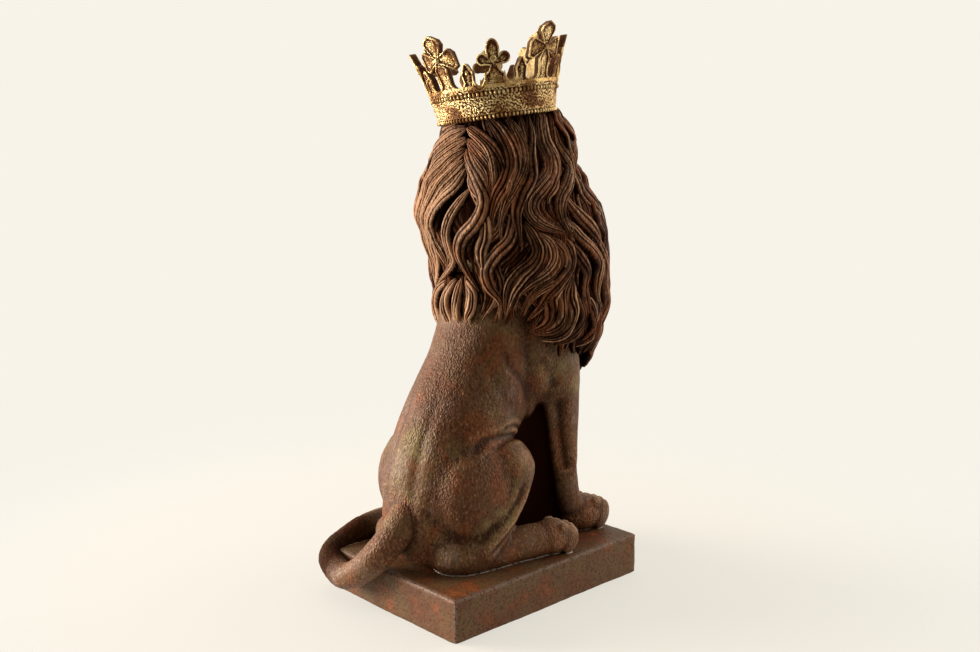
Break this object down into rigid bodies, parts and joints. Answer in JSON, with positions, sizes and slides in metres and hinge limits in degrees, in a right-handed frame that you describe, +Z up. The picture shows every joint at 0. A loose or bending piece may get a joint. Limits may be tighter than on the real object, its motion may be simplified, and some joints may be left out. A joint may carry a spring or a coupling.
{
  "type": "crowned lion statue",
  "caption": "Seated lion figure with a wavy mane and an open crown of crosses and trefoils, on a plain rectangular plinth, with its tail curled round one corner.",
  "frame": {"origin": "the middle of the plinth's underside", "axes": "+Z up; the lion faces -Y, its right side is -X and its back is +Y"},
  "size_m": [0.2155, 0.3136, 0.5973],
  "materials": {
    "rusty_figure": "rust-brown paint with a dark wash and dry-brushed ridges on moulded resin",
    "rusty_plinth": "rust-brown paint with orange rust bloom on moulded resin",
    "worn_gold": "gold paint worn through to brown on moulded resin"
  },
  "bodies": {
    "root": {"lion": "rusty_figure", "plinth": "rusty_plinth", "crown": "worn_gold"}
  },
  "joints": []
}
